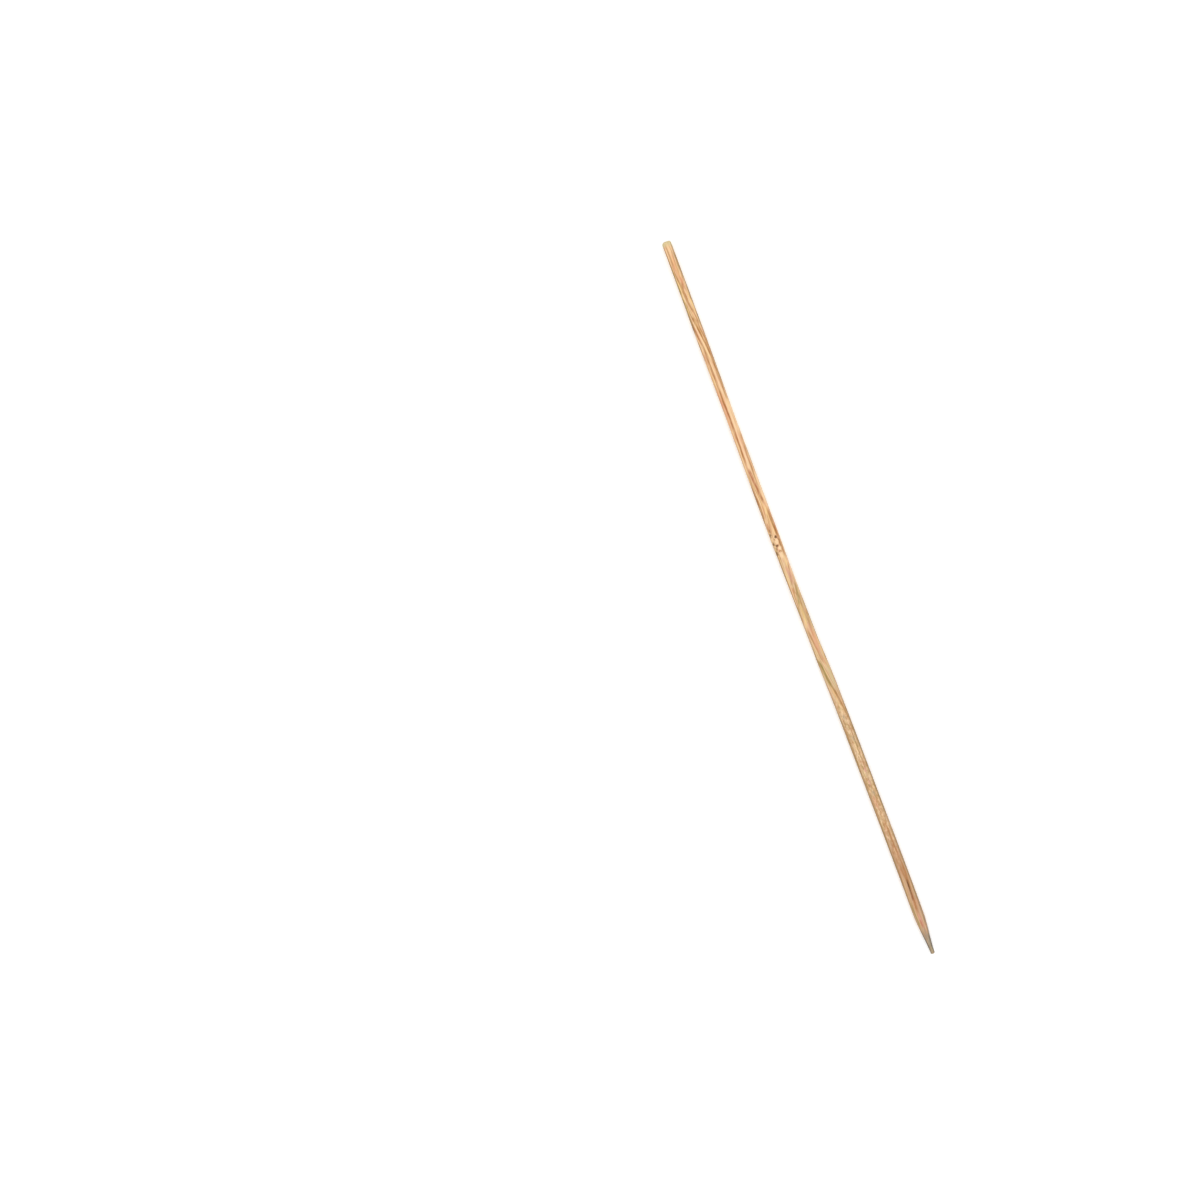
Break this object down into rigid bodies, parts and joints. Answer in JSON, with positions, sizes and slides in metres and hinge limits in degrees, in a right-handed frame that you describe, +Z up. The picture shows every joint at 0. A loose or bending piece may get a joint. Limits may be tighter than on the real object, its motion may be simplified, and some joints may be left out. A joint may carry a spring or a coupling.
{
  "type": "bamboo skewer",
  "caption": "Thin split-bamboo stick with a square-sawn butt and a ground point, for threading and holding food.",
  "frame": {"origin": "middle of the stick's length and width, on the plane that it lies on", "axes": "+X along the stick from the sawn butt to the point, +Z up from the plane that it lies on, +Y across"},
  "size_m": [0.25, 0.0042, 0.0036],
  "materials": {
    "bamboo": "bare split bamboo, lightly fibrous, unsealed"
  },
  "bodies": {
    "root": {"skewer": "bamboo"}
  },
  "joints": []
}
